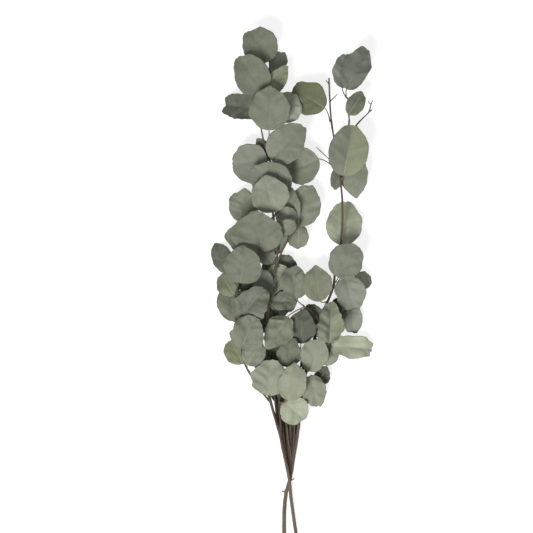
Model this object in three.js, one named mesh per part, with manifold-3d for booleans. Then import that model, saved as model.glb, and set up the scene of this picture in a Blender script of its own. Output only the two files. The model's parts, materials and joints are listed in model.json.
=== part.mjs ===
// A spray of silver-dollar eucalyptus, lying on a flat surface: two cut stems that cross near their
// lower ends, the side twigs that grew out of them, and round leathery leaves, each on a thin stalk.
// Millimetres. +Y runs from the cut ends to the tips, +X to the right and +Z up, away from the surface.
import * as THREE from "three";
import { mergeVertices } from "three/addons/utils/BufferGeometryUtils.js";
import Module from "manifold-3d";

const wasm = await Module();
wasm.setup();

// Driving dimensions.
const LEAF_THICKNESS = 0.8;
const STALK_RADIUS = 0.85; // a leaf's stalk where it leaves the twig
const STALK_END_RADIUS = 0.65; // and where the blade starts
const GAP = 0.3; // clearance between a stalk's foot and the bark
const TRUNK_SIDES = 8;
const TWIG_SIDES = 6;
const RINGS_PER_POINT = 2; // rings of vertices along a strand for each of its points
const BLADE_ROWS = 6; // rows of facets from a blade's base to its tip
const STALK_ROWS = 2; // and along its stalk
const STALK_BEND = 0.45; // how far short of its blade a stalk bends over, as a share of its length
const BASE_ROW = 0.7; // how far from the base the first row stands, as a share of the spacing of the rows
const TIP_ROW = 0.7; // and the last row from the tip
const FOOT_SAMPLES = 40; // places tried between two points of a strand, to find a leaf's foot
const WELD = 1e-3; // vertices nearer than this are one
// Across a blade: -1 is the left margin, 0 the midrib and 1 the right margin.
const ACROSS = [-1, -0.5, 0, 0.5, 1];

// Wood. Each strand is a tapering round stem through its points, r its radius at the two ends. A twig
// starts inside the stem that it grew from.
const WOOD = {
  stem_left: {
    trunk: {
      r: [2.7, 0.9], sides: TRUNK_SIDES,
      points: [
        [10, -386, 3.4], [0, -316, 7.5], [-2, -291, 10.2], [-9, -256, 12], [-16, -222, 14],
        [-28, -181, 17], [-36, -144, 20], [-37, -91, 25], [-34, -31, 29], [-30, 6, 31], [-21, 40, 32],
        [-22, 73, 33], [-27, 111, 33], [-31, 148, 32], [-31, 189, 31], [-37, 208, 30], [-45, 240, 29],
        [-43, 268, 28], [-37, 298, 28], [-31, 343, 29],
      ],
    },
    diagonal: { r: [1.6, 1.0], points: [[-21, 38, 32], [-12, 58, 38], [0, 78, 44], [12, 93, 46]] },
    outer: {
      r: [1.6, 0.9],
      points: [
        [-31, -172, 18], [-49, -150, 22], [-61, -130, 26], [-69, -115, 29], [-75, -91, 33],
        [-81, -61, 37], [-84, -31, 40], [-82, -4, 42], [-76, 12, 43],
      ],
    },
    inner: {
      r: [2.2, 1.2],
      points: [
        [-15, -226, 14], [-16, -196, 18], [-18, -172, 20], [-15, -144, 22], [-12, -112, 22],
      ],
    },
    back: {
      r: [2.8, 1.6],
      points: [
        [-9, -256, 12], [-12, -219, 9], [-14, -189, 9], [-12, -159, 10], [-8, -136, 11],
      ],
    },
    side: {
      r: [2.4, 1.6],
      points: [
        [-12, -240, 13], [-19, -204, 11], [-23, -174, 10], [-26, -144, 11], [-28, -120, 12],
      ],
    },
  },
  stem_right: {
    trunk: {
      r: [3.1, 1.2], sides: TRUNK_SIDES,
      points: [
        [-10, -386, 3.2], [-10, -340, 3.4], [-7, -309, 3.5], [-1, -289, 3.7], [3, -264, 5], [8, -234, 8],
        [12, -204, 11], [16, -166, 15], [22, -130, 19], [31, -91, 22], [40, -61, 24], [48, -36, 26],
        [57, -16, 27], [64, 3, 28], [66, 25, 28], [75, 66, 28], [77, 133, 28], [70, 193, 28],
        [61, 246, 29], [58, 286, 31], [57, 315, 32],
      ],
    },
    top: {
      r: [1.4, 0.8],
      points: [
        [76, 160, 28], [82, 208, 27], [87, 243, 28], [87, 261, 29], [85, 285, 30],
      ],
    },
    tip: {
      r: [1.2, 0.8],
      points: [
        [84, 222, 27], [97, 243, 28], [108, 255, 30], [117, 264, 31], [120, 276, 32], [123, 282, 33],
      ],
    },
    tip_stub: { r: [0.9, 0.6], points: [[120, 275, 32], [117, 278, 32.5], [115, 281, 33]] },
    tip_bud: { r: [0.9, 0.6], points: [[117, 264, 31], [120, 266, 31], [122, 268, 31]] },
    crown_stub: { r: [1.0, 0.6], points: [[58, 279, 31], [65, 286, 32], [70, 291, 33]] },
    crown_bud: { r: [1.0, 0.6], points: [[57, 306, 32], [54, 309, 32.5], [52, 312, 33]] },
    low: { r: [2.0, 1.0], points: [[49, -33, 26], [63, -21, 24], [75, -13, 22], [84, -13, 20]] },
    cross: { r: [1.2, 0.8], points: [[43, -52, 25], [31, -35, 27], [19, -28, 29]] },
    inner: {
      r: [2.6, 1.2],
      points: [
        [2, -266, 4.8], [-3, -234, 9], [-7, -204, 11], [-10, -174, 13], [-16, -144, 15], [-24, -115, 16],
        [-31, -96, 17],
      ],
    },
    middle: {
      r: [2.2, 1.1],
      points: [
        [4, -257, 5.5], [4.5, -234, 9], [6, -202, 12], [9, -166, 15], [13, -130, 18], [16, -106, 21],
      ],
    },
    back: {
      r: [2.8, 1.6],
      points: [
        [3, -262, 5], [0, -234, 5.5], [-1, -204, 6], [1, -166, 7], [7, -129, 9],
      ],
    },
    back_left: {
      r: [2.4, 1.6],
      points: [
        [2, -262, 5], [-2, -234, 5], [-6, -204, 4.5], [-7, -170, 5], [-6, -140, 6],
      ],
    },
    back_right: {
      r: [2.2, 1.5],
      points: [
        [4, -262, 5], [5, -234, 5.5], [6, -204, 6], [10, -170, 8], [15, -135, 10],
      ],
    },
    bare: { r: [1.0, 0.7], points: [[72, 184, 28], [62, 189, 29.5], [50, 200, 31], [38, 211, 32]] },
    foot: { r: [1.1, 0.8], points: [[21, -134, 18], [36, -135, 17], [48, -133, 16]] },
    scar_right: { r: [1.1, 0.8], points: [[0, -291, 3.8], [3, -290, 4.4], [6, -288, 5]] },
    scar_left: { r: [1.4, 1.0], points: [[-8, -309, 3.5], [-11, -308, 3.8], [-14, -307, 4.2]] },
  },
};

// Leaves, listed from the tips down. leaf(name, stem, strand, foot, base, tip, width, shape): the stalk
// leaves the strand beside foot [x, y] and carries the blade from base to tip, each [x, y, z]. Shape is
// optional. roll turns the blade about its midrib, in degrees. As shares of its half width, cup raises
// its margins and fold creases it along the midrib; as a share of its length, bow raises its middle.
// wide moves its widest place, under 1 towards the base, blunt squares its outline off as it gets
// smaller, and tone is its colour.
const LEAVES = [];
const leaf = (name, stem, strand, foot, base, tip, width, shape = {}) =>
  LEAVES.push({ name, stem, strand, foot, base, tip, width, ...shape });

leaf("leaf_left_01", "stem_left", "trunk", [-32, 338], [-33, 340, 31], [-62, 388, 36], 52, { blunt: 0.42 });
leaf("leaf_left_02", "stem_left", "trunk", [-40, 290], [-40, 293, 36], [-78, 345, 50], 54, { blunt: 0.42 });
leaf("leaf_left_03", "stem_left", "trunk", [-33, 325], [-28, 324, 19], [-11, 356, 0], 27);
leaf("leaf_left_04", "stem_left", "trunk", [-42, 275], [-33, 290, 31], [-8, 332, 34], 29,
  { tone: "olive" });
leaf("leaf_left_05", "stem_left", "trunk", [-31, 184], [-35, 187, 28], [-90, 188, 20], 62,
  { tone: "grey" });
leaf("leaf_left_06", "stem_left", "trunk", [-33, 197], [-33, 236, 41], [-31, 301, 56], 62, { cup: 0.18 });
leaf("leaf_left_07", "stem_left", "trunk", [-43, 268], [-42, 268, 20], [-102, 277, -1], 40,
  { cup: 0.3, blunt: 0.3 });
leaf("leaf_left_08", "stem_left", "trunk", [-45, 245], [-20, 252, 27], [6, 291, 28], 48, { tone: "grey" });
leaf("leaf_left_09", "stem_left", "trunk", [-31, 183], [-28, 190, 37], [17, 243, 42], 57, { roll: 10 });
leaf("leaf_left_10", "stem_right", "trunk", [67, 172], [42, 194, 24], [-12, 172, 5], 55);
leaf("leaf_left_11", "stem_left", "trunk", [-30, 133], [-6, 139, 40], [-55, 181, 46], 61);
leaf("leaf_left_12", "stem_left", "trunk", [-27, 105], [-24, 114, 44], [-42, 166, 57], 58, { cup: 0.2 });
leaf("leaf_left_13", "stem_left", "diagonal", [12, 93], [12, 93, 28], [27, 153, 20], 52);
leaf("leaf_left_14", "stem_left", "diagonal", [4, 83], [4, 95, 34], [-8, 156, 27], 31);
leaf("leaf_left_15", "stem_left", "diagonal", [12, 93], [7, 100, 41], [-22, 114, 40], 33);
leaf("leaf_left_16", "stem_left", "diagonal", [8, 88], [7, 95, 51], [-24, 85, 54], 24);
leaf("leaf_left_17", "stem_left", "trunk", [-21, 58], [-46, 53, 46], [-56, 113, 64], 76, { blunt: 0.45 });
leaf("leaf_left_18", "stem_left", "trunk", [-22, 42], [-24, 50, 22], [-16, 101, 19], 30);
leaf("leaf_left_19", "stem_left", "diagonal", [-2, 75], [12, 96, 19], [10, 58, 13], 32);
leaf("leaf_left_20", "stem_left", "trunk", [-23, 75], [-55, 72, 32], [-98, 80, 22], 42);
leaf("leaf_left_21", "stem_left", "trunk", [-27, 105], [-66, 98, 22], [-76, 148, 14], 48, { cup: 0.25 });
leaf("leaf_left_22", "stem_left", "outer", [-76, 12], [-76, 8, 47], [-68, 62, 66], 55, { blunt: 0.45 });
leaf("leaf_left_23", "stem_left", "outer", [-81, 4], [-93, 22, 34], [-113, 67, 0], 32);
leaf("leaf_left_24", "stem_left", "outer", [-84, -20], [-85, -11, 33], [-106, 21, 22], 31,
  { tone: "olive" });
leaf("leaf_left_25", "stem_left", "trunk", [-32, -12], [-37, -12, 33], [-47, 30, 31], 32, { tone: "grey" });
leaf("leaf_left_26", "stem_left", "outer", [-84, -40], [-79, -46, 46], [-38, -1, 58], 50, { cup: 0.2 });
leaf("leaf_left_27", "stem_left", "outer", [-83, -48], [-86, -50, 30], [-91, 5, 24], 44);
leaf("leaf_left_28", "stem_left", "outer", [-76, -88], [-75, -91, 44], [-53, -41, 60], 53);
leaf("leaf_left_29", "stem_left", "outer", [-70, -112], [-72, -114, 22], [-93, -79, 0], 36,
  { tone: "olive" });
leaf("leaf_left_30", "stem_left", "outer", [-63, -126], [-66, -115, 33], [-44, -80, 36], 36);
leaf("leaf_left_31", "stem_right", "cross", [19, -28], [-5, -43, 33], [-36, -90, 45], 41, { wide: 0.75 });
leaf("leaf_left_32", "stem_left", "trunk", [-23, 35], [-24, 36, 21], [-6, -40, 8], 56, { wide: 1.1 });
leaf("leaf_left_33", "stem_right", "cross", [19, -28], [8, -16, 27], [2, 33, 28], 42, { blunt: 0.42 });
leaf("leaf_left_34", "stem_left", "trunk", [-33, -25], [-28, -21, 26], [9, -22, 27], 32, { roll: 25 });
leaf("leaf_left_35", "stem_left", "trunk", [-22, 36], [-28, 38, 28], [-50, 64, 26], 30);
leaf("leaf_low_01", "stem_left", "inner", [-14, -130], [-6, -119, 26], [0, -74, 31], 37, { tone: "grey" });
leaf("leaf_low_02", "stem_left", "trunk", [-33, -165], [-35, -161, 26], [-30, -107, 38], 53,
  { tone: "pale" });
leaf("leaf_low_03", "stem_left", "inner", [-18, -172], [-5, -168, 34], [9, -113, 44], 42, { tone: "pale" });
leaf("leaf_low_04", "stem_left", "inner", [-16, -190], [-10, -170, 21], [20, -199, 19], 45,
  { tone: "pale", cup: 0.2 });
leaf("leaf_low_05", "stem_right", "foot", [31, -135], [30, -131, 24], [40, -180, 14], 38, { tone: "pale" });
leaf("leaf_low_06", "stem_right", "trunk", [24, -121], [27, -125, 28], [43, -74, 38], 41, { tone: "pale" });
leaf("leaf_low_07", "stem_right", "foot", [48, -133], [54, -117, 14], [59, -74, 12], 33, { tone: "pale" });
leaf("leaf_low_08", "stem_right", "trunk", [36, -76], [60, -88, 24], [123, -94, 13], 38,
  { tone: "pale", roll: 25, blunt: 0.28 });
leaf("leaf_right_01", "stem_right", "top", [85, 285], [83, 298, 31], [112, 358, 38], 42,
  { tone: "grey", wide: 1.1, blunt: 0.5 });
leaf("leaf_right_02", "stem_right", "top", [85, 285], [77, 300, 26], [86, 354, 8], 38, { tone: "grey" });
leaf("leaf_right_03", "stem_right", "top", [87, 258], [86, 260, 33], [109, 294, 36], 27, { fold: 0.7 });
leaf("leaf_right_04", "stem_right", "trunk", [61, 250], [51, 270, 28], [2, 301, 18], 52, { tone: "olive" });
leaf("leaf_right_05", "stem_right", "trunk", [75, 163], [79, 168, 34], [92, 245, 42], 59, { fold: 0.12 });
leaf("leaf_right_06", "stem_right", "top", [80, 184], [93, 199, 22], [99, 137, 20], 43, { roll: -14 });
leaf("leaf_right_07", "stem_right", "trunk", [75, 66], [75, 64, 20], [85, 130, 0], 55);
leaf("leaf_right_08", "stem_right", "trunk", [65, 8], [71, 16, 35], [95, 66, 47], 53, { blunt: 0.45 });
leaf("leaf_right_09", "stem_right", "trunk", [65, 2], [82, 16, 29], [96, -33, 30], 48, { tone: "grey" });
leaf("leaf_right_10", "stem_right", "low", [84, -13], [95, 6, 16], [121, 16, 0], 28, { tone: "grey" });
leaf("leaf_right_11", "stem_right", "low", [84, -13], [88, -19, 15], [96, -69, 0], 32, { tone: "grey" });
leaf("leaf_right_12", "stem_right", "trunk", [54, -22], [44, -20, 32], [34, 32, 34], 45, { tone: "olive" });
leaf("leaf_right_13", "stem_right", "trunk", [33, -86], [58, -82, 36], [60, -23, 43], 46,
  { fold: 0.3, blunt: 0.4 });
leaf("leaf_right_14", "stem_right", "middle", [16, -106], [15, -84, 23], [17, -32, 29], 40,
  { tone: "grey", cup: 0.25 });
leaf("leaf_right_15", "stem_right", "trunk", [40, -61], [40, -63, 15], [28, -24, 12], 36);

// A closed surface through rings of points that all have the same, even count. A ring starts at its left,
// goes over its top to its right and comes back below. Its lower half is split along the same diagonals
// as its upper half and its ends are closed straight across, so a thin blade never cuts through itself.
function loft(rings) {
  const count = rings[0].length;
  const index = [];
  for (let row = 0; row < rings.length - 1; row++) {
    for (let i = 0; i < count; i++) {
      const a = row * count + i;
      const b = row * count + ((i + 1) % count);
      if (i < count / 2) index.push(a, b, a + count, b, b + count, a + count);
      else index.push(a, b, b + count, a, b + count, a + count);
    }
  }
  const last = (rings.length - 1) * count;
  for (let i = 0; i < count / 2; i++) {
    const [above, below] = [i + 1, count - i - 1];
    const back = (count - i) % count;
    if (above !== below) index.push(below, above, i, last + i, last + above, last + below);
    if (back !== i) index.push(back, below, i, last + i, last + below, last + back);
  }
  const geometry = new THREE.BufferGeometry().setFromPoints(rings.flat());
  geometry.setIndex(index);
  return geometry;
}

// A ring of points round a centre, from its left, -across, over +up to its right and back below.
function ring(centre, across, up, radius, count) {
  return Array.from({ length: count }, (_, i) => {
    const angle = Math.PI - (2 * Math.PI * i) / count;
    return centre.clone()
      .addScaledVector(across, radius * Math.cos(angle))
      .addScaledVector(up, radius * Math.sin(angle));
  });
}

function curveOf(points) {
  return new THREE.CatmullRomCurve3(points.map((p) => new THREE.Vector3(...p)), false, "centripetal");
}

// Two unit vectors square to a direction, the first of them level.
function squareTo(direction) {
  const side = new THREE.Vector3().crossVectors(direction, new THREE.Vector3(0, 0, 1)).normalize();
  return [side, new THREE.Vector3().crossVectors(side, direction)];
}

function strandGeometry({ r: [thick, thin], sides = TWIG_SIDES, points }) {
  const curve = curveOf(points);
  const steps = RINGS_PER_POINT * (points.length - 1);
  return loft(Array.from({ length: steps + 1 }, (_, i) => {
    const t = i / steps;
    const [side, up] = squareTo(curve.getTangent(t));
    return ring(curve.getPoint(t), side, up, THREE.MathUtils.lerp(thick, thin, t), sides);
  }));
}

// manifold-3d solids, for the joins, and their way back to three.js.
function solidOf(geometry) {
  const merged = mergeVertices(geometry, WELD);
  return new wasm.Manifold(new wasm.Mesh({
    numProp: 3,
    vertProperties: merged.attributes.position.array,
    triVerts: new Uint32Array(merged.index.array),
  }));
}

function geometryOf(solid) {
  const { vertProperties, triVerts } = solid.getMesh();
  const geometry = new THREE.BufferGeometry();
  geometry.setAttribute("position", new THREE.BufferAttribute(vertProperties, 3));
  geometry.setIndex(new THREE.BufferAttribute(triVerts, 1));
  return geometry;
}

// The place on a strand that is nearest to [x, y], and the strand's radius there.
function footOn({ r: [thick, thin], points }, [x, y]) {
  const curve = curveOf(points);
  const samples = FOOT_SAMPLES * (points.length - 1);
  const spots = curve.getPoints(samples);
  const far = (p) => Math.hypot(p.x - x, p.y - y);
  const best = spots.reduce((found, p, i) => (far(p) < far(spots[found]) ? i : found), 0);
  const t = best / samples;
  return { at: spots[best], radius: THREE.MathUtils.lerp(thick, thin, t), along: curve.getTangent(t) };
}

// Half width of a blade as a share of its widest, from 0 at the base to 0 at the tip.
const outline = (u, wide, blunt) => Math.sin(Math.PI * u ** wide) ** blunt;

function leafGeometry({ stem, strand, foot, base, tip, width, roll = 0, cup = 0.12, bow = 0.06, fold = 0,
  wide = 0.9, blunt = 0.52 }) {
  const start = new THREE.Vector3(...base);
  const axis = new THREE.Vector3(...tip).sub(start);
  const length = axis.length();
  axis.normalize();
  const across = new THREE.Vector3().crossVectors(axis, new THREE.Vector3(0, 0, 1)).normalize();
  across.applyAxisAngle(axis, THREE.MathUtils.degToRad(-roll));
  const up = new THREE.Vector3().crossVectors(across, axis);
  const half = width / 2;

  const spot = (u, v, side) => {
    const reach = v * outline(u, wide, blunt);
    const raised = half * (cup * reach * reach + fold * Math.abs(reach));
    const bent = length * 4 * bow * u * (1 - u);
    const thick = Math.abs(v) === 1 ? 0 : (side * LEAF_THICKNESS) / 2;
    return start.clone()
      .addScaledVector(axis, u * length)
      .addScaledVector(across, half * reach)
      .addScaledVector(up, raised + bent + thick);
  };
  const below = ACROSS.slice(1, -1).reverse();
  const bladeRing = (u) => [...ACROSS.map((v) => spot(u, v, 1)), ...below.map((v) => spot(u, v, -1))];

  const { at, radius, along } = footOn(WOOD[stem][strand], foot);
  const away = start.clone().sub(at);
  away.addScaledVector(along, -away.dot(along)).normalize();
  const from = at.clone().addScaledVector(away, radius + GAP + STALK_RADIUS);
  const straight = start.clone().sub(from);
  const arriving = straight.clone().normalize().add(axis).normalize();
  const bend = start.clone().addScaledVector(arriving, -STALK_BEND * straight.length());
  const stalk = new THREE.QuadraticBezierCurve3(from, bend, start);
  const stalkRings = [];
  const side = across.clone();
  for (let row = STALK_ROWS; row >= 0; row--) {
    const t = row / STALK_ROWS;
    const tangent = stalk.getTangent(t);
    side.addScaledVector(tangent, -side.dot(tangent)).normalize();
    const over = new THREE.Vector3().crossVectors(side, tangent);
    const thick = THREE.MathUtils.lerp(STALK_RADIUS, STALK_END_RADIUS, t);
    stalkRings.unshift(ring(stalk.getPoint(t), side, over, thick, 2 * ACROSS.length - 2));
  }
  const bladeRings = Array.from({ length: BLADE_ROWS }, (_, i) => {
    const turn = (Math.PI * (i + BASE_ROW)) / (BLADE_ROWS - 1 + BASE_ROW + TIP_ROW);
    return bladeRing((1 - Math.cos(turn)) / 2);
  });
  return loft([...stalkRings, ...bladeRings]);
}

const BARK = new THREE.MeshStandardMaterial({ color: 0x7b6252, roughness: 0.8, metalness: 0 });
const LEAF = {
  sage: new THREE.MeshStandardMaterial({ color: 0x7f8371, roughness: 0.7, metalness: 0 }),
  olive: new THREE.MeshStandardMaterial({ color: 0x70745a, roughness: 0.7, metalness: 0 }),
  grey: new THREE.MeshStandardMaterial({ color: 0x848a80, roughness: 0.7, metalness: 0 }),
  pale: new THREE.MeshStandardMaterial({ color: 0x9ca08b, roughness: 0.7, metalness: 0 }),
};

function node(name, geometry, material) {
  const mesh = new THREE.Mesh(geometry, material);
  mesh.name = name;
  return mesh;
}

const spray = new THREE.Group();
for (const [name, strands] of Object.entries(WOOD)) {
  const solids = Object.values(strands).map((strand) => solidOf(strandGeometry(strand)));
  spray.add(node(name, geometryOf(wasm.Manifold.union(solids)), BARK));
}
for (const one of LEAVES) spray.add(node(one.name, leafGeometry(one), LEAF[one.tone ?? "sage"]));

// The origin is the middle of the spray's footprint, on the surface that it lies on.
const box = new THREE.Box3().setFromObject(spray, true);
const middle = box.getCenter(new THREE.Vector3());
spray.position.set(-middle.x, -middle.y, -box.min.z);

export default spray;
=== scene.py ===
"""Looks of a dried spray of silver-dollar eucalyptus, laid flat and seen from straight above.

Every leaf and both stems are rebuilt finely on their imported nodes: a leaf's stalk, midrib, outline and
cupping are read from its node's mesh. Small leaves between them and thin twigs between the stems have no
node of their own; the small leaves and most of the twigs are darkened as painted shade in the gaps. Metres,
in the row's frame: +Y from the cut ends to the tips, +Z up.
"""

import itertools
import json
import math

import bpy
import numpy as np
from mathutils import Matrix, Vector, noise


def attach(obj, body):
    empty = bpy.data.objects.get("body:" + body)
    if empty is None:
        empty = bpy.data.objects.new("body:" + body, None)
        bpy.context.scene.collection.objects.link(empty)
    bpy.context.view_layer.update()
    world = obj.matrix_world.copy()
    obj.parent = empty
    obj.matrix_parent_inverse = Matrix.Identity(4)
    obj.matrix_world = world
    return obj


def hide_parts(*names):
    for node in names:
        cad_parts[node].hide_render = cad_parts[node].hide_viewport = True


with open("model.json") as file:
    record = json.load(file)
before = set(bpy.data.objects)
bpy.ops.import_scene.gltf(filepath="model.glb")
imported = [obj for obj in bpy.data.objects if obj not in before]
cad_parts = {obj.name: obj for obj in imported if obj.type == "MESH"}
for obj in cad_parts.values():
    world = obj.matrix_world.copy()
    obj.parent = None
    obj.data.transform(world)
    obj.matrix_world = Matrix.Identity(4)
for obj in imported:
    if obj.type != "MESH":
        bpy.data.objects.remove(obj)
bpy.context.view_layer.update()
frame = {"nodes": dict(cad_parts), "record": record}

MILLIMETRES = 1000  # in a metre
STEMS = ("stem_left", "stem_right")

# Camera: straight above, the tips at the top. The field leaves the cut ends just outside.
CAMERA_HEIGHT = 3.2
FIELD = 0.7995
AIM = (-0.0384, 0.0298)
SPRAY_MIDDLE = 0.03  # above the surface that the spray lies on
SENSOR = 36.0  # millimetres
FLOOR_REACH = 4
FLOOR_GAP = 0.0005  # under the spray

# A blade. Its shares of length and width are of the smooth outline's.
BLADE_THICKNESS = 0.00045
ROWS = 44  # of points along a blade
COLUMNS = 36  # of facets across it
END_GAP = 0.3  # of a row's step, from the first and last rows to the base and tip
# How a margin wanders in and out: (depth as a share of the half width, waves from base to tip).
LOBES = (0.12, 2.4)
DENTS = (0.08, 5.5)
NICKS = (0.022, 14)
RAGGED = (0.6, 0.4, 2.0)  # of a margin: without crumple, more with each unit of it, and at most
# How a blade's length differs across it: (share of the length, waves from the midrib to the margin).
SWEEP = (0.1, 1.8)
JAGS = (0.03, 6)
# How a blade leaves its smooth surface: (height, waves from base to tip or per metre).
CURL = (0.0022, 5.5)
BUCKLE = (0.0024, 38)
CREASE = (0.0014, 62)
PUCKER = (0.0005, 130)
CREASE_SLANT = 0.6
CREASE_SHARPNESS = 2.4
CREASE_START = 0.006  # from the midrib to where a crease is as high as it gets
MIDRIB_GROOVE = (0.0002, 0.0009)  # depth and half width
GROOVE_END = 3  # the groove fades out over the last third of the blade
RIM_THINNING = 0.6  # of the thickness, at the margin

# A stalk, and the ridge that it goes on as under the blade.
STALK_SIDES = 10
ROUND = [2 * math.pi * side / STALK_SIDES for side in range(STALK_SIDES)]
STALK_STEPS = 26
REACH_IN = 0.00055  # the stalk's foot goes on into the bark
ROOT_SPREAD = 1.5  # radius in the bark, as a share of the foot's
STALK_BULK = 1.15  # radius past the foot, as a share of the foot's
STALK_FLARE = 0.25  # and more than that at the foot
RIDGE_REACH = 0.6  # of the blade's length
RIDGE_DROP = 0.00035  # below the blade's surface
RIDGE_TAPER = 0.85
BARKY = 0.7  # of the ridge's length, over which bark fades into midrib
FAR_FROM_RIM = 9.0  # millimetres: what a stalk's points say, so that no rim is drawn on them

# How one leaf differs from the next.
SEED_START = 0.1
SEED_STEP = 0.618
LOOK_SPREAD = 0.15
SHADE_SPREAD = (0.95, 1.04)
SMALL_CRUMPLE = 1.3
EVEN = (0.0, 1.0)  # both halves of a leaf alike: (olive, brightness)
HALVES_MEET = (-2.0, 3.0)  # millimetres across, where the left half's look turns into the right's

# The wood's surface.
VOXEL = 0.00045
SMOOTHINGS = 4
SKIN = 0.00005  # put back where smoothing takes it off
SWELLING = (0.0005, 0.0032)  # where a stalk leaves: height and reach
ROUGHNESS = (0.00016, (350, 60, 350))  # height and waves per metre
KNOTS = (0.0009, (25, 55), 0.25)  # height, waves per metre, and how much of the noise stays smooth
# Stretches of the wood, in y or x: each pair is where a stretch starts or ends, and where it is full.
FAN_Y = ((-0.285, -0.25), (-0.06, -0.1))
ELBOW_Y = ((-0.075, -0.055), (0.02, -0.01))
ELBOW_X = (0.03, 0.04)
CROWN_Y = (0.15, 0.23)
CROWN_X = (0.03, 0.05)
TAN_Y = (-0.1, -0.16)
RED_Y = ((-0.1, -0.03), (0.21, 0.15))
# Between the outer stems the fan's strands are darkened as painted shade.
OUTER_STEM = (0.004, 0.0065)  # in from either side of the fan, where tan stems give way to dark strands
STRAND = (0.25, -0.05)  # of the noise that tells strands apart
STRAND_WAVES = 55
FAN_ROOT = (-0.002, -0.32)  # where the strands spread from
CROWN_DARK = 0.55
ELBOW_DARK = 0.8
FAN_RED = 0.5
REACH_STEP = 0.01
REACH_WINDOW = 0.025

# How leaves look, by material slot: (olive, pale, blue) shares of the mixes in the leaf material.
TONE = {
    "leaf_sage": (0.15, 0.3, 0.2),
    "leaf_olive": (0.95, 0.05, 0.0),
    "leaf_grey": (0.0, 0.3, 0.9),
    "leaf_pale": (0.1, 0.95, 0.2),
}
# Leaves with a look of their own, between the looks of the slots.
LOOK = {
    "leaf_left_04": (0.6, 0.1, 0.0),
    "leaf_left_24": (0.6, 0.1, 0.0),
    "leaf_low_01": (0.35, 0.1, 0.05),
    "leaf_right_12": (0.5, 0.25, 0.0),
    "leaf_right_14": (0.3, 0.05, 0.1),
}
# Brightness of these leaves against the rest of their kind: partly their own darker or paler tone, partly
# painted shade where a leaf lies in shadow and painted light where it faces the light.
SHADE = {
    "leaf_left_01": 0.8,
    "leaf_left_02": 0.7,
    "leaf_left_03": 0.75,
    "leaf_left_04": 1.35,
    "leaf_left_06": 0.8,
    "leaf_left_07": 0.5,
    "leaf_left_08": 1.4,
    "leaf_left_09": 0.85,
    "leaf_left_10": 0.9,
    "leaf_left_11": 0.95,
    "leaf_left_12": 1.1,
    "leaf_left_17": 0.75,
    "leaf_left_19": 0.9,
    "leaf_left_20": 0.75,
    "leaf_left_21": 1.25,
    "leaf_left_22": 0.73,
    "leaf_left_23": 0.75,
    "leaf_left_24": 1.1,
    "leaf_left_25": 0.66,
    "leaf_left_26": 0.7,
    "leaf_left_27": 0.85,
    "leaf_left_28": 0.8,
    "leaf_left_29": 1.5,
    "leaf_left_30": 0.85,
    "leaf_left_31": 0.95,
    "leaf_left_32": 1.5,
    "leaf_left_33": 0.78,
    "leaf_left_34": 0.9,
    "leaf_left_35": 0.7,
    "leaf_low_01": 0.7,
    "leaf_low_02": 0.92,
    "leaf_low_03": 0.88,
    "leaf_low_04": 1.3,
    "leaf_low_05": 0.88,
    "leaf_low_06": 0.88,
    "leaf_low_07": 0.9,
    "leaf_low_08": 1.55,
    "leaf_right_01": 0.66,
    "leaf_right_02": 1.05,
    "leaf_right_03": 0.72,
    "leaf_right_04": 0.9,
    "leaf_right_05": 0.84,
    "leaf_right_06": 0.92,
    "leaf_right_07": 1.5,
    "leaf_right_08": 0.73,
    "leaf_right_09": 1.1,
    "leaf_right_10": 1.2,
    "leaf_right_12": 0.9,
    "leaf_right_13": 0.92,
    "leaf_right_14": 0.5,
    "leaf_right_15": 0.6,
}
# How much more than the rest these leaves are crumpled and ragged at the margin.
CRUMPLED = {
    "leaf_left_07": 2.4,
    "leaf_left_15": 1.4,
    "leaf_left_17": 1.6,
    "leaf_left_22": 1.6,
    "leaf_left_26": 2.2,
    "leaf_left_27": 1.5,
    "leaf_left_28": 2.3,
    "leaf_left_31": 2.0,
    "leaf_left_32": 1.8,
    "leaf_left_33": 2.8,
    "leaf_left_34": 1.8,
    "leaf_low_01": 1.6,
    "leaf_low_02": 2.0,
    "leaf_low_03": 1.7,
    "leaf_low_04": 1.5,
    "leaf_low_05": 2.0,
    "leaf_low_06": 1.6,
    "leaf_low_07": 1.6,
    "leaf_low_08": 1.4,
    "leaf_right_01": 2.0,
    "leaf_right_02": 1.7,
    "leaf_right_03": 1.5,
    "leaf_right_08": 1.3,
    "leaf_right_09": 1.5,
    "leaf_right_11": 1.6,
    "leaf_right_13": 4.2,
    "leaf_right_14": 1.4,
}
# Thin twigs, dark as painted shade, fill the spread of stems below the leaves: their y, least x and greatest
# x at both ends.
FAN_LOW = (-0.283, -0.0045, -0.0015)
FAN_HIGH = (-0.125, -0.034, 0.0175)
FAN_TWIGS = 16
FAN_RADIUS = 0.0016
FAN_LAYERS = (0.0035, 0.0065)  # heights that they take in turn
FAN_STEPS = 24
FAN_STAGGER = (0.06, 4)  # each twig of four ends this share of the length short of the one before
FAN_SWAY = (0.0009, 0.0008)  # sideways and up
FAN_TAPER = 0.3
PALE_RADIUS = 0.4  # of a dark twig's
PALE_TWIGS = (5, 9, 12)
# Share of its node's width that a leaf takes, where it has shrunk and crumpled.
SHRUNK = {"leaf_right_13": 0.84}
# The right half of these leaves is brighter than the left, as painted light on a folded half, and may be more
# olive, which is the leaf's own colour: (olive, brightness).
HALF = {
    "leaf_left_10": (0.0, 1.15),
    "leaf_right_03": (0.3, 1.25),
    "leaf_right_05": (0.6, 1.4),
    "leaf_right_13": (0.3, 1.2),
}
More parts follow.
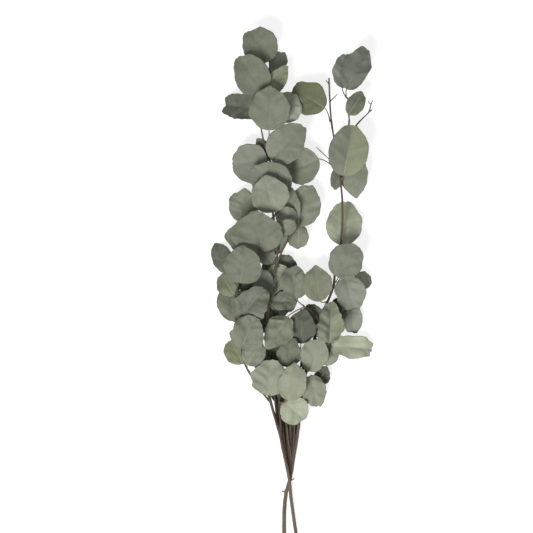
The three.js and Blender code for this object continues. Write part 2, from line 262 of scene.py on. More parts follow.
# Small leaves low between the others: (base, tip, width, shade), in millimetres. Their shade darkens them as
# painted shade in the gaps between the bigger leaves.
SMALL = [
    ((-31, 287, 22), (-33, 325, 26), 27, 0.8),
    ((-36, 188, 18), (-50, 222, 22), 26, 0.75),
    ((-4, 16, 9), (-12, 48, 10), 30, 0.5),
    ((-36, 12, 18), (-28, 48, 18), 26, 0.5),
    ((-42, -18, 18), (-34, 18, 17), 32, 0.55),
    ((-36, -54, 14), (-50, -22, 12), 28, 0.5),
    ((-34, -62, 10), (-18, -32, 8), 28, 0.5),
    ((-46, -128, 14), (-48, -92, 12), 26, 0.5),
    ((-26, -122, 8), (-24, -84, 8), 28, 0.5),
    ((-18, -176, 6), (-26, -144, 6), 22, 0.5),
    ((40, -148, 8), (52, -122, 9), 24, 0.5),
    ((77, 188, 12), (64, 146, 8), 24, 0.72),
    ((42, -78, 9), (48, -44, 8), 30, 0.45),
    ((72, -54, 10), (66, -20, 9), 26, 0.5),
    ((-66, -20, 16), (-60, 14, 16), 30, 0.5),
    ((-40, 52, 14), (-52, 84, 12), 30, 0.5),
    ((22, -128, 9), (30, -98, 8), 26, 0.5),
    ((-46, -70, 12), (-40, -40, 10), 26, 0.5),
    ((-86, -6, 16), (-78, 18, 14), 22, 0.5),
]


def camera():
    data = bpy.data.cameras.new("camera")
    data.sensor_width = SENSOR
    data.lens = SENSOR * CAMERA_HEIGHT / FIELD
    data.clip_end = 20.0
    obj = bpy.data.objects.new("camera", data)
    obj.location = (AIM[0], AIM[1], CAMERA_HEIGHT + SPRAY_MIDDLE)
    bpy.context.scene.collection.objects.link(obj)
    bpy.context.scene.camera = obj


def area_light(name, size, power, place):
    """A square light that shines at the origin."""
    data = bpy.data.lights.new(name, "AREA")
    data.shape = "SQUARE"
    data.size = size
    data.energy = power
    obj = bpy.data.objects.new(name, data)
    obj.location = place
    obj.rotation_euler = (-Vector(place)).to_track_quat("-Z", "Y").to_euler()
    bpy.context.scene.collection.objects.link(obj)


def studio():
    """White surroundings, a key light from the cut ends' side, a weak fill and a white floor."""
    world = bpy.data.worlds.new("studio")
    bpy.context.scene.world = world
    world.use_nodes = True
    sky = world.node_tree.nodes["Background"]
    sky.inputs["Color"].default_value = (1.0, 1.0, 1.0, 1.0)
    sky.inputs["Strength"].default_value = 0.36
    area_light("key", 1.1, 130.0, (-0.9, -1.5, 2.6))
    area_light("fill", 3.0, 20.0, (1.6, 1.2, 2.4))
    bpy.context.scene.view_settings.view_transform = "Standard"
    add_floor()


def add_floor():
    mesh = bpy.data.meshes.new("floor")
    far = FLOOR_REACH
    mesh.from_pydata([(-far, -far, 0), (far, -far, 0), (far, far, 0), (-far, far, 0)], [], [(0, 1, 2, 3)])
    floor = bpy.data.objects.new("floor", mesh)
    floor.location.z = -FLOOR_GAP
    bpy.context.scene.collection.objects.link(floor)
    nodes = Nodes("floor")
    speck = nodes.noise(nodes.place(), 6.0, 2.0)
    shades = nodes.ramp(speck, [(0.0, (0.3, 0.3, 0.3)), (1.0, (0.34, 0.34, 0.34))])
    nodes.link(shades, nodes.shader.inputs["Base Color"])
    nodes.shader.inputs["Roughness"].default_value = 0.9
    nodes.shader.inputs["Emission Color"].default_value = (1.0, 1.0, 1.0, 1.0)
    nodes.shader.inputs["Emission Strength"].default_value = 0.75
    mesh.materials.append(nodes.material)


class Nodes:
    """A material and short ways to add to its node tree."""

    def __init__(self, name):
        self.material = bpy.data.materials.new(name)
        self.material.use_nodes = True
        self.tree = self.material.node_tree
        self.shader = self.tree.nodes["Principled BSDF"]

    def new(self, kind, **settings):
        node = self.tree.nodes.new(kind)
        for key, value in settings.items():
            setattr(node, key, value)
        return node

    def link(self, a, b):
        self.tree.links.new(a, b)

    def put(self, socket, value):
        if isinstance(value, (int, float, tuple)):
            socket.default_value = value
        else:
            self.link(value, socket)

    def place(self):
        return self.new("ShaderNodeTexCoord").outputs["Object"]

    def attribute(self, name, output="Fac"):
        return self.new("ShaderNodeAttribute", attribute_name=name).outputs[output]

    def math(self, operation, a, b=0.0):
        node = self.new("ShaderNodeMath", operation=operation)
        for socket, value in zip(node.inputs, (a, b)):
            self.put(socket, value)
        return node.outputs[0]

    def scale(self, vector, by):
        node = self.new("ShaderNodeVectorMath", operation="MULTIPLY")
        self.put(node.inputs[0], vector)
        self.put(node.inputs[1], by)
        return node.outputs[0]

    def join(self, x, y, z=0.0):
        node = self.new("ShaderNodeCombineXYZ")
        for socket, value in zip(node.inputs, (x, y, z)):
            self.put(socket, value)
        return node.outputs[0]

    def split(self, vector):
        node = self.new("ShaderNodeSeparateXYZ")
        self.link(vector, node.inputs[0])
        return node.outputs

    def noise(self, vector, scale, detail=3.0, roughness=0.55):
        node = self.new("ShaderNodeTexNoise")
        self.link(vector, node.inputs["Vector"])
        node.inputs["Scale"].default_value = scale
        node.inputs["Detail"].default_value = detail
        node.inputs["Roughness"].default_value = roughness
        return node.outputs["Fac"]

    def ramp(self, fac, stops):
        node = self.new("ShaderNodeValToRGB")
        elements = node.color_ramp.elements
        while len(elements) < len(stops):
            elements.new(0.5)
        for element, (at, colour) in zip(elements, stops):
            element.position = at
            element.color = (*colour, 1.0)
        self.link(fac, node.inputs["Fac"])
        return node.outputs["Color"]

    def step(self, value, low, high):
        """0 at low to 1 at high, smoothly."""
        node = self.new("ShaderNodeMapRange", interpolation_type="SMOOTHSTEP")
        for socket, x in zip(node.inputs[:3], (value, low, high)):
            self.put(socket, x)
        return node.outputs[0]

    def mix(self, fac, a, b):
        node = self.new("ShaderNodeMix", data_type="RGBA")
        self.put(node.inputs["Factor"], fac)
        for socket, value in zip(node.inputs[6:8], (a, b)):
            self.put(socket, (*value, 1.0) if isinstance(value, tuple) else value)
        return node.outputs[2]

    def bump(self, height, strength, distance):
        node = self.new("ShaderNodeBump")
        node.inputs["Strength"].default_value = strength
        node.inputs["Distance"].default_value = distance
        self.link(height, node.inputs["Height"])
        self.link(node.outputs["Normal"], self.shader.inputs["Normal"])


def srgb(text):
    """A linear colour from its usual six hexadecimal digits."""
    parts = [int(text[i : i + 2], 16) / 255 for i in (0, 2, 4)]
    return tuple(c / 12.92 if c <= 0.04045 else ((c + 0.055) / 1.055) ** 2.4 for c in parts)


def leaf_material():
    """Waxy dry blade: pale midrib and fine side veins, mottled bloom, thin dark rim, brown specks.

    The mesh gives the place on the blade in millimetres (leaf_mm: along, across, and in from the rim), the
    leaf's own look (leaf_look: olive, pale, blue), its brightness (leaf_shade), a number of its own
    (leaf_seed) and where it is stalk (leaf_stalk: 1 on the stalk)."""
    n = Nodes("eucalyptus_leaf")
    along, across, rim = n.split(n.attribute("leaf_mm", "Vector"))
    olive, pale, blue = n.split(n.attribute("leaf_look", "Vector"))
    seed = n.attribute("leaf_seed")
    stalk = n.attribute("leaf_stalk")
    shade = n.attribute("leaf_shade")
    side = n.math("ABSOLUTE", across)
    spot = n.join(n.math("ADD", along, n.math("MULTIPLY", seed, 400.0)), across, seed)

    cloudy = n.noise(spot, 0.05, 3.0)
    mottle = n.noise(spot, 0.4, 4.0, 0.65)
    grain = n.noise(spot, 2.2, 3.0, 0.7)

    colour = n.mix(n.step(cloudy, 0.3, 0.7), srgb("595e4e"), srgb("727667"))
    colour = n.mix(n.math("MULTIPLY", olive, n.step(cloudy, -0.1, 0.6)), colour, srgb("585d40"))
    colour = n.mix(n.math("MULTIPLY", blue, 0.7), colour, srgb("656962"))
    colour = n.mix(n.math("MULTIPLY", pale, 0.6), colour, srgb("888b78"))
    colour = n.mix(n.math("MULTIPLY", n.step(mottle, 0.45, 0.8), 0.16), colour, srgb("848878"))
    colour = n.mix(n.math("MULTIPLY", n.step(mottle, 0.55, 0.25), 0.16), colour, srgb("484e3d"))
    colour = n.mix(n.math("MULTIPLY", n.step(grain, 0.5, 0.8), 0.1), colour, srgb("929586"))

    # Side veins leave the midrib at about 60 degrees and curve on towards the tip.
    vein_gap = 5.2
    bend = n.math("MULTIPLY", n.math("POWER", side, 1.25), 0.42)
    wander = n.math("MULTIPLY", n.math("SUBTRACT", n.noise(spot, 0.12, 2.0), 0.5), 3.0)
    rows = n.math("FRACT", n.math("DIVIDE", n.math("ADD", n.math("SUBTRACT", along, bend), wander), vein_gap))
    vein = n.step(n.math("ABSOLUTE", n.math("SUBTRACT", rows, 0.5)), 0.075, 0.02)
    vein = n.math("MULTIPLY", vein, n.step(side, 0.3, 2.5))
    vein = n.math("MULTIPLY", vein, n.step(mottle, 0.3, 0.6))
    midrib = n.step(n.math("SUBTRACT", side, n.math("MULTIPLY", n.noise(spot, 0.2, 1.0), 0.35)), 0.75, 0.1)
    midrib = n.math("MULTIPLY", midrib, n.step(along, 45.0, 8.0))
    marked = n.noise(n.join(seed, seed), 37.0, 0.0)
    colour = n.mix(n.math("MULTIPLY", vein, 0.13), colour, srgb("8d907e"))
    marked = n.math("ADD", 0.35, n.math("MULTIPLY", n.step(marked, 0.3, 0.7), 0.65))
    colour = n.mix(n.math("MULTIPLY", midrib, marked), colour, srgb("868671"))

    # Rim: a thin brownish line, wider where the margin has dried.
    dried = n.step(n.noise(spot, 0.09, 2.0), 0.52, 0.72)
    edge = n.step(rim, n.math("ADD", 0.4, n.math("MULTIPLY", dried, 1.2)), 0.0)
    colour = n.mix(n.math("MULTIPLY", edge, 0.5), colour, srgb("4a4636"))
    speck = n.step(n.noise(spot, 0.8, 2.0, 0.8), 0.68, 0.78)
    colour = n.mix(n.math("MULTIPLY", speck, 0.3), colour, srgb("494032"))
    bark = n.mix(n.step(mottle, 0.3, 0.7), srgb("514335"), srgb("6d644e"))
    colour = n.mix(stalk, colour, bark)
    # Each leaf's brightness scales its colour: partly its own tone, partly painted light and shade.
    colour = n.scale(colour, n.join(shade, shade, shade))
    n.link(colour, n.shader.inputs["Base Color"])
    n.link(n.math("ADD", 0.58, n.math("MULTIPLY", grain, 0.24)), n.shader.inputs["Roughness"])
    n.shader.inputs["Specular IOR Level"].default_value = 0.35
    n.shader.inputs["Sheen Weight"].default_value = 0.12
    n.shader.inputs["Sheen Roughness"].default_value = 0.5
    relief = n.math("ADD", n.math("MULTIPLY", vein, 0.3), n.math("MULTIPLY", midrib, 0.5))
    relief = n.math("ADD", relief, n.math("MULTIPLY", mottle, 0.45))
    relief = n.math("ADD", relief, n.math("MULTIPLY", grain, 0.15))
    n.bump(relief, 0.4, 0.0003)
    return n.material


def bark_material():
    """Thin dry bark: tan to brown in long streaks, greyish film, dark lenticels across.

    The mesh gives the wood's look as wood_look: (dark, tan, red). Dark is painted shade on the fan's strands
    and twigs, and darkens the wood at the crown and the elbow."""
    n = Nodes("eucalyptus_bark")
    at = n.place()
    dark, tan, red = n.split(n.attribute("wood_look", "Vector"))
    streak = n.noise(n.scale(at, (900.0, 45.0, 900.0)), 1.0, 4.0, 0.6)
    patch = n.noise(n.scale(at, (60.0, 25.0, 60.0)), 1.0, 3.0)
    ring = n.noise(n.scale(at, (220.0, 1500.0, 220.0)), 1.0, 2.0)
    grain = n.noise(at, 1800.0, 3.0, 0.7)
    colour = n.mix(n.step(streak, 0.3, 0.7), srgb("372c22"), srgb("544637"))
    colour = n.mix(n.math("MULTIPLY", tan, n.step(patch, 0.7, 0.3)), colour, srgb("5c4d3a"))
    colour = n.mix(n.math("MULTIPLY", red, 0.4), colour, srgb("4e382a"))
    colour = n.mix(n.math("MULTIPLY", n.step(patch, 0.5, 0.2), 0.4), colour, srgb("494536"))
    # dark: painted shade on the fan's strands and twigs; darker wood at the crown and the elbow.
    colour = n.mix(n.math("MULTIPLY", dark, 0.85), colour, srgb("251913"))
    colour = n.mix(n.math("MULTIPLY", n.step(ring, 0.64, 0.74), 0.5), colour, srgb("251913"))
    colour = n.mix(n.math("MULTIPLY", n.step(grain, 0.5, 0.8), 0.2), colour, srgb("6c5e49"))
    n.link(colour, n.shader.inputs["Base Color"])
    n.link(n.math("ADD", 0.6, n.math("MULTIPLY", streak, 0.3)), n.shader.inputs["Roughness"])
    relief = n.math("ADD", streak, n.math("MULTIPLY", grain, 0.4))
    relief = n.math("ADD", relief, n.math("MULTIPLY", n.step(ring, 0.6, 0.75), 0.6))
    n.bump(relief, 0.6, 0.0006)
    return n.material


def add_mesh(name, points, faces, material):
    mesh = bpy.data.meshes.new(name)
    mesh.from_pydata([tuple(p) for p in points], [], faces)
    mesh.polygons.foreach_set("use_smooth", [True] * len(mesh.polygons))
    mesh.materials.append(material)
    mesh.update()
    obj = bpy.data.objects.new(name, mesh)
    bpy.context.scene.collection.objects.link(obj)
    return obj


def corners(node):
    """A node's vertices, each place once."""
    co = np.array([v.co for v in frame["nodes"][node].data.vertices], float)
    return np.unique(co.round(6), axis=0)


def unit(v):
    return v / np.linalg.norm(v)


def ramp(value, low, high):
    """0 at low to 1 at high."""
    return np.clip((value - low) / (high - low), 0.0, 1.0)


def outline(u, wide, blunt):
    """Half width of a blade as a share of its widest, from its base to its tip.

    The widest place is halfway where wide is 1 and nearer the base where it is less. The smaller blunt is,
    the rounder both ends are."""
    return np.sin(math.pi * np.asarray(u) ** wide) ** blunt


class Leaf:
    """A leaf's stalk, midrib, outline and surface.

    The stalk is the (centre, radius) of its foot, its middle and its end at the blade's base."""

    UNIT = (0.05, 0.025)  # along and across: the surface's terms are powers of the place in these
    WIDE = np.arange(0.7, 1.01, 0.025)  # what fit_outline tries
    BLUNT = np.arange(0.24, 0.66, 0.02)
    RING = 8  # points in each ring of a node's stalk
    THICKEST = 0.001  # its radius is less
    SAME = 2e-5  # points nearer than this to a circle lie on it
    ROW_GAP = 0.0015  # the rows of a blade's points stand further apart than this
    LAST_ROW = 0.971  # where the last row stands, as a share of the blade's length
    SMALL_OUTLINE = (0.88, 0.5)
    SMALL_STALK = (0.0008, 0.0007, 0.0006)  # radius at the foot, the middle and the base
    SMALL_SURFACE = (0.008, -0.01, 0.0, 0.003, 0.0, 0.0, 0.0)
    SMALL_SAG = 0.2  # of the stalk's run, back along the blade at its middle

    @classmethod
    def from_node(cls, node):
        self = cls()
        points = corners(node)
        apart = np.linalg.norm(points[:, None] - points[None], axis=2)
        crowded = points[(apart < 2 * cls.THICKEST).sum(axis=1) >= cls.RING]
        rings = cls.rings(crowded)
        self.stalk = [(centre, radius) for centre, radius, _ in rings]
        taken = {tuple(p) for _, _, ring in rings for p in ring}
        blade = np.array([p for p in points if tuple(p) not in taken])
        middle = blade.mean(axis=0)
        self.base = self.stalk[-1][0]
        forward = middle - self.base
        _, _, axes = np.linalg.svd(blade - middle)
        level = min(axes[:2], key=lambda axis: abs(axis @ unit(forward)))
        self.along = unit(forward - level * (forward @ level) - axes[2] * (forward @ axes[2]))
        self.up = np.cross(level, self.along)
        if self.up[2] < 0:
            self.up = -self.up
        self.across = np.cross(self.along, self.up)
        s, x, h = self.local(blade)
        self.length = s.max() / cls.LAST_ROW
        order = np.argsort(s)
        rows = np.split(order, np.flatnonzero(np.diff(s[order]) > cls.ROW_GAP) + 1)
        u = np.array([s[row].mean() for row in rows]) / self.length
        reach = np.array([np.abs(x[row]).max() for row in rows])
        self.half, self.wide, self.blunt = cls.fit_outline(u, reach)
        self.surface, *_ = np.linalg.lstsq(self.terms(s, x), h, rcond=None)
        return self

    @classmethod
    def small(cls, base, tip, width):
        """A leaf of its own between a base and a tip, on a stalk from the nearest bark."""
        self = cls()
        base, tip = np.array(base) / MILLIMETRES, np.array(tip) / MILLIMETRES
        self.base = base
        self.length = np.linalg.norm(tip - base)
        self.half = width / MILLIMETRES / 2
        self.wide, self.blunt = cls.SMALL_OUTLINE
        self.along = unit(tip - base)
        self.across = unit(np.cross(self.along, (0.0, 0.0, 1.0)))
        self.up = np.cross(self.across, self.along)
        foot = nearest_bark(base)
        run = base - foot
        middle = foot + 0.5 * run - cls.SMALL_SAG * np.linalg.norm(run) * self.along
        self.stalk = list(zip((foot, middle, base), cls.SMALL_STALK))
        self.surface = np.array(cls.SMALL_SURFACE)
        return self

    @classmethod
    def rings(cls, points):
        """(centre, radius, points) of each ring of the stalk, which thins from the twig to the blade: every
        circle that passes through exactly eight of the points."""
        triples = np.array(list(itertools.combinations(range(len(points)), 3)))
        a, b, c = (points[triples[:, k]] for k in range(3))
        normal = np.cross(b - a, c - a)
        size = np.linalg.norm(normal, axis=1)
        reach_b, reach_c = (((end - a) ** 2).sum(axis=1)[:, None] for end in (b, c))
        toward = np.cross(normal, b - a) * reach_c + np.cross(c - a, normal) * reach_b
        centre = a + toward / (2 * size[:, None] ** 2)
        radius = np.linalg.norm(centre - a, axis=1)
        found = {}
        for i in np.flatnonzero(radius < cls.THICKEST):
            offset = points - centre[i]
            off_plane = np.abs(offset @ normal[i]) / size[i]
            off_circle = np.abs(np.linalg.norm(offset, axis=1) - radius[i])
            on = np.flatnonzero((off_plane < cls.SAME) & (off_circle < cls.SAME))
            if len(on) == cls.RING:
                found[tuple(on)] = points[on]
        rings = []
        for ring in found.values():
            middle = ring.mean(axis=0)
            rings.append((middle, np.linalg.norm(ring - middle, axis=1).mean(), ring))
        return sorted(rings, key=lambda r: -r[1])

    @classmethod
    def fit_outline(cls, u, x):
        """The half width and the outline's two shape numbers that pass nearest to the rows' margins."""
        best = None
        for wide in cls.WIDE:
            for blunt in cls.BLUNT:
                shape = outline(u, wide, blunt)
                half = (shape @ x) / (shape @ shape)
                miss = np.abs(shape * half - x).sum()
                if best is None or miss < best[0]:
                    best = (miss, half, wide, blunt)
        return best[1:]

    def local(self, points):
        offset = points - self.base
        return offset @ self.along, offset @ self.across, offset @ self.up

    def terms(self, s, x):
        u, v = s / self.UNIT[0], x / self.UNIT[1]
        return np.stack([u, u * u, v, v * v, np.abs(v), u * v, u * v * v], axis=1)

    def point(self, s, x, lift=0.0):
        h = self.terms(np.atleast_1d(s), np.atleast_1d(x)) @ self.surface + lift
        return self.base + np.outer(s, self.along) + np.outer(x, self.across) + np.outer(h, self.up)


def wave(seed, x, y=0.0):
    """Smooth noise about 0, roughly within 1 either way."""
    return noise.noise(Vector((x, y, seed * 17.3)))


def loft(points, faces, rings):
    """Adds a closed surface through rings of points, each of the same count, to points and faces."""
    count = len(rings[0])
    start = len(points)
    for ring in rings:
        points.extend(ring)
    for row in range(len(rings) - 1):
        for i in range(count):
            a = start + row * count + i
            b = start + row * count + (i + 1) % count
            faces.append((a, b, b + count, a + count))
    faces.append(tuple(start + i for i in reversed(range(count))))
    last = start + (len(rings) - 1) * count
    faces.append(tuple(last + i for i in range(count)))


def crease(seed, s, x):
    """Shallow folds that run out from the midrib towards the margin, about 0 to 1."""
    across = abs(x) * CREASE_SLANT - s
    ridge = 1.0 - abs(wave(seed + math.copysign(3.0, x), across * CREASE[1], 0.7)) * CREASE_SHARPNESS
    return max(0.0, ridge) * min(1.0, abs(x) / CREASE_START)


def margin(seed, crumple, turn):
    """How far the margin stands out from the smooth outline, as a share of the blade's half width."""
    ragged = LOBES[0] * wave(seed, LOBES[1] * turn) + DENTS[0] * wave(seed + 7, DENTS[1] * turn)
    ragged += crumple * NICKS[0] * wave(seed + 5, NICKS[1] * turn)
    smooth, more, most = RAGGED
    return ragged * min(most, smooth + more * crumple)


def relief(seed, crumple, turn, s, x, edge):
    """How far the blade stands off its smooth surface. edge is 0 at the midrib and 1 at the margin."""
    lift = CURL[0] * crumple * edge * wave(seed + 2, CURL[1] * turn, 0.4)
    lift += BUCKLE[0] * crumple * wave(seed + 3, s * BUCKLE[1], x * BUCKLE[1])
    lift += CREASE[0] * crumple * crease(seed, s, x)
    lift += PUCKER[0] * wave(seed + 4, s * PUCKER[1], x * PUCKER[1])
    return lift


def blade(leaf, seed, crumple):
    """Rings of points and, for each point, its (along, across, in from the rim) in millimetres.

    u runs from 0 at the base to 1 at the tip and v from -1 at the left margin to 1 at the right one. turn
    goes round the margin: 0 at the base, 1 at the tip and 2 at the base again."""
    rings, marks = [], []
    across = [-1 + 2 * c / COLUMNS for c in range(COLUMNS + 1)]
    depth, groove = MIDRIB_GROOVE
    for r in range(ROWS):
        u = (1 - math.cos(math.pi * (r + END_GAP) / (ROWS - 1 + 2 * END_GAP))) / 2
        width = float(outline(u, leaf.wide, leaf.blunt))
        ring, mark = [], []
        for v, side in [(v, 1) for v in across] + [(v, -1) for v in reversed(across[1:-1])]:
            turn = u if v < 0 else 2 - u
            reach = width * (1 + margin(seed, crumple, turn))
            x = v * reach * leaf.half
            q = x / leaf.half
            sweep = SWEEP[0] * wave(seed + 9, SWEEP[1] * q) * u
            jags = JAGS[0] * wave(seed + 8, JAGS[1] * q) * u
            s = u * leaf.length * (1 + sweep + jags)
            edge = abs(v) ** 3
            lift = relief(seed, crumple, turn, s, x, edge)
            lift -= depth * math.exp(-((x / groove) ** 2)) * min(1.0, (1 - u) * GROOVE_END)
            if abs(v) < 1:
                lift += side * BLADE_THICKNESS / 2 * (1 - RIM_THINNING * edge)
            ring.append(leaf.point(s, x, lift)[0])
            rim = (1 - abs(v)) * reach * leaf.half
            mark.append((s * MILLIMETRES, x * MILLIMETRES, rim * MILLIMETRES))
        rings.append(ring)
        marks.append(mark)
    return rings, marks


def nearest_bark(place):
    """The point of either stem that is nearest to a place."""
    found = [frame["nodes"][stem].closest_point_on_mesh(Vector(place))[1] for stem in STEMS]
    return np.array(min(found, key=lambda p: (p - Vector(place)).length))


def stalk(leaf):
    """Rings of the stalk, from in the bark to the blade's base, and of the midrib's ridge under the blade."""
    (foot, thick), (middle, _), (base, thin) = leaf.stalk
    bark = nearest_bark(foot)
    root = bark + unit(bark - foot) * REACH_IN
    bend = 2 * middle - (foot + base) / 2
    centres, radii = [root], [thick * ROOT_SPREAD]
    for i in range(STALK_STEPS + 1):
        t = i / STALK_STEPS
        centres.append((1 - t) ** 2 * foot + 2 * t * (1 - t) * bend + t * t * base)
        radii.append(thick * (STALK_BULK + STALK_FLARE * (1 - t) ** 4) + (thin - thick) * t)
    for i in range(1, STALK_STEPS + 1):
        t = i / STALK_STEPS
        centres.append(leaf.point(RIDGE_REACH * t * leaf.length, 0.0, -RIDGE_DROP * min(1.0, 6 * t))[0])
        radii.append(thin * (1 - RIDGE_TAPER * t))
    rings = []
    side = leaf.across
    for i, (centre, radius) in enumerate(zip(centres, radii)):
        ahead = unit(centres[min(i + 1, len(centres) - 1)] - centres[max(i - 1, 0)])
        side = unit(side - ahead * (side @ ahead))
        up = np.cross(side, ahead)
        rings.append([centre + radius * (side * math.cos(a) - up * math.sin(a)) for a in ROUND])
    return rings


def set_attribute(mesh, name, kind, values):
    attribute = mesh.attributes.new(name, kind, "POINT")
    key = "vector" if kind == "FLOAT_VECTOR" else "value"
    attribute.data.foreach_set(key, np.asarray(values, np.float32).ravel())


def build_leaf(name, leaf, look, shade, crumple, seed, material, half=EVEN):
    """One leaf, blade and stalk in one mesh, with what its material reads from the mesh."""
    points, faces = [], []
    rings, marks = blade(leaf, seed, crumple)
    loft(points, faces, rings)
    place = [m for row in marks for m in row]
    stem = stalk(leaf)
    loft(points, faces, stem)
    twig = sum(len(r) for r in stem)
    place += [(0.0, 0.0, FAR_FROM_RIM)] * twig
    on_stalk = [0.0] * (len(points) - twig)
    for i, ring in enumerate(stem):
        share = 1.0 - (i - STALK_STEPS) / (BARKY * STALK_STEPS)
        on_stalk += [min(1.0, max(0.0, share))] * len(ring)
    obj = add_mesh(name, points, faces, material)
    set_attribute(obj.data, "leaf_mm", "FLOAT_VECTOR", place)
    right = ramp(np.array(place)[:, 1], *HALVES_MEET)
    looks = np.clip(np.array(look) + np.outer(right, (half[0], 0.0, -half[0])), 0.0, 1.0)
    set_attribute(obj.data, "leaf_look", "FLOAT_VECTOR", looks)
    # The right half's extra brightness is painted light.
    set_attribute(obj.data, "leaf_shade", "FLOAT", shade * (1 + right * (half[1] - 1)))
    set_attribute(obj.data, "leaf_seed", "FLOAT", [seed % 1.0] * len(points))
    set_attribute(obj.data, "leaf_stalk", "FLOAT", on_stalk)
    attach(obj, "root")
    return obj


def leaves(material):
    """Replaces every leaf node and adds the small leaves. Returns the places of the stalks' feet."""
    slots = {part["node"]: part["material_slot"] for part in frame["record"]["subparts"]}
    feet = []
    number = 0
    for node in sorted(n for n in frame["nodes"] if n.startswith("leaf")):
        leaf = Leaf.from_node(node)
        leaf.half *= SHRUNK.get(node, 1.0)
        own = np.random.default_rng(number)
        tone = LOOK.get(node, TONE[slots[node]])
        look = tuple(float(np.clip(x + own.uniform(-LOOK_SPREAD, LOOK_SPREAD), 0, 1)) for x in tone)
        # This brightness is partly the leaf's own tone, partly painted light and shade.
        shade = SHADE.get(node, 1.0) * own.uniform(*SHADE_SPREAD)
        crumple = CRUMPLED.get(node, 1.0)
        seed = number * SEED_STEP + SEED_START
        half = HALF.get(node, EVEN)
        obj = build_leaf("look_" + node, leaf, look, shade, crumple, seed, material, half)
        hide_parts(node)
        feet.append(leaf.stalk[0][0])
        number += 1
    for i, (base, tip, width, shade) in enumerate(SMALL):
        leaf = Leaf.small(base, tip, width)
        seed = number * SEED_STEP + SEED_START
        look = TONE["leaf_sage"]
        # The small leaves' shade is painted shade in the gaps.
        obj = build_leaf(f"small_leaf_{i + 1:02d}", leaf, look, shade, SMALL_CRUMPLE, seed, material)
        feet.append(leaf.stalk[0][0])
        number += 1
    return np.array(feet)


def within(value, start, end):
    """1 between two ends, each of which is a pair: where the stretch starts or ends, and where it is full."""
    return ramp(value, *start) * ramp(value, *end)


def wood_look(co, reach):
    """(dark, tan, red) at each point of the wood: below the leaves the outer stems are tan and the strands
    between them dark, as painted shade; the wood is also darker at the crown and the elbow. reach is what
    wood_reach gives."""
    x, y = co[:, 0], co[:, 1]
    low = np.interp(y, reach[0], reach[1])
    high = np.interp(y, reach[0], reach[2])
    inside = np.minimum(x - low, high - x)
    spread = (x - FAN_ROOT[0]) / np.maximum(y - FAN_ROOT[1], 0.01)
    strand = np.array([noise.noise(Vector((a * STRAND_WAVES, 0.0, 8.0))) for a in spread])
    fan = within(y, *FAN_Y)
    # The fan's strands between the outer stems: painted shade.
    dark = fan * ramp(inside, *OUTER_STEM) * ramp(strand, *STRAND)
    crown = ramp(y, *CROWN_Y) * ramp(x, *CROWN_X)
    elbow = within(y, *ELBOW_Y) * ramp(x, *ELBOW_X)
    dark = np.maximum(dark, np.maximum(CROWN_DARK * crown, ELBOW_DARK * elbow))
    tan = ramp(y, *TAN_Y) * (1 - dark)
    red = np.maximum(within(y, *RED_Y), FAN_RED * fan) * (1 - 0.5 * dark)
    return np.stack([dark, tan, red], axis=1)


def wood_reach():
    """y, least x and greatest x of the two stems together, at steps along the spray."""
    co = np.concatenate([corners(stem) for stem in STEMS])
    steps = np.arange(co[:, 1].min() + REACH_STEP, co[:, 1].max(), REACH_STEP)
    rows = [co[np.abs(co[:, 1] - y) < REACH_WINDOW] for y in steps]
    return steps, np.array([r[:, 0].min() for r in rows]), np.array([r[:, 0].max() for r in rows])


def fine_wood(node):
    """A stem node's mesh, remeshed finely and smoothed."""
    source = frame["nodes"][node].copy()
    source.data = source.data.copy()
    source.parent = None
    bpy.context.scene.collection.objects.link(source)
    remesh = source.modifiers.new("fine", "REMESH")
    remesh.mode = "VOXEL"
    remesh.voxel_size = VOXEL
    smooth = source.modifiers.new("smooth", "SMOOTH")
    smooth.factor = 0.5
    smooth.iterations = SMOOTHINGS
    mesh = bpy.data.meshes.new_from_object(source.evaluated_get(bpy.context.evaluated_depsgraph_get()))
    bpy.data.objects.remove(source)
    return mesh


def bark_height(co, feet):
    """How far bark stands out at each point: swollen at the stalks' feet, rough along the grain, knotty."""
    gap = np.full(len(co), 1.0)
    for foot in feet:
        gap = np.minimum(gap, np.linalg.norm(co - foot, axis=1))
    swell = SWELLING[0] * np.exp(-((gap / SWELLING[1]) ** 2))
    height, waves = ROUGHNESS
    rough = np.array([noise.noise(Vector(p * waves)) for p in co]) * height
    height, waves, smooth = KNOTS
    knots = [max(0.0, noise.noise(Vector((*(p[:2] * waves), 3.0))) - smooth) for p in co]
    return swell + rough + np.array(knots) * height + SKIN


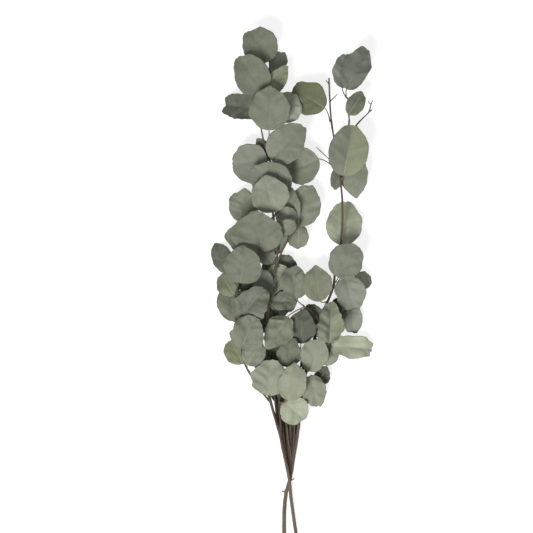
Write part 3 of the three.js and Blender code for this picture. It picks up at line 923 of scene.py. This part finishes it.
def stems(material, feet):
    """Round, barky wood in place of each stem node."""
    reach = wood_reach()
    for node in STEMS:
        mesh = fine_wood(node)
        co = np.zeros(len(mesh.vertices) * 3)
        mesh.vertices.foreach_get("co", co)
        co = co.reshape(-1, 3)
        normal = np.array([v.normal for v in mesh.vertices])
        co += normal * bark_height(co, feet)[:, None]
        mesh.vertices.foreach_set("co", co.ravel())
        mesh.polygons.foreach_set("use_smooth", [True] * len(mesh.polygons))
        mesh.materials.clear()
        mesh.materials.append(material)
        set_attribute(mesh, "wood_look", "FLOAT_VECTOR", wood_look(co, reach))
        obj = bpy.data.objects.new("look_" + node, mesh)
        bpy.context.scene.collection.objects.link(obj)
        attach(obj, "root")
        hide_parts(node)


def fan(material):
    """Twigs side by side between the two stems, from where these cross up to the lowest leaves: dark as
    painted shade, but for a few pale ones.
    """
    points, faces, looks = [], [], []
    shorter, turns = FAN_STAGGER
    for i in range(FAN_TWIGS):
        share = i / (FAN_TWIGS - 1)
        pale = i in PALE_TWIGS
        rings = []
        for t in np.linspace(0.0, 1.0 - shorter * (i % turns), FAN_STEPS):
            y, least, most = (low + t * (high - low) for low, high in zip(FAN_LOW, FAN_HIGH))
            x = least + share * (most - least) + FAN_SWAY[0] * t * wave(60 + i, 6 * t)
            z = FAN_LAYERS[i % len(FAN_LAYERS)] + FAN_SWAY[1] * t * wave(90 + i, 5 * t)
            radius = FAN_RADIUS * (1 - FAN_TAPER * t) * (PALE_RADIUS if pale else 1.0)
            ring = [(x + radius * math.cos(a), y, z + radius * math.sin(a)) for a in ROUND]
            rings.append(ring)
        loft(points, faces, rings)
        # The dark look is painted shade; the pale twigs are tan.
        look = (0.0, 1.0, 0.0) if pale else (1.0, 0.0, 0.0)
        looks += [look] * (len(points) - len(looks))
    obj = add_mesh("fan_twigs", points, faces, material)
    set_attribute(obj.data, "wood_look", "FLOAT_VECTOR", looks)
    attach(obj, "root")


camera()
studio()
feet = leaves(leaf_material())
bark = bark_material()
stems(bark, feet)
fan(bark)
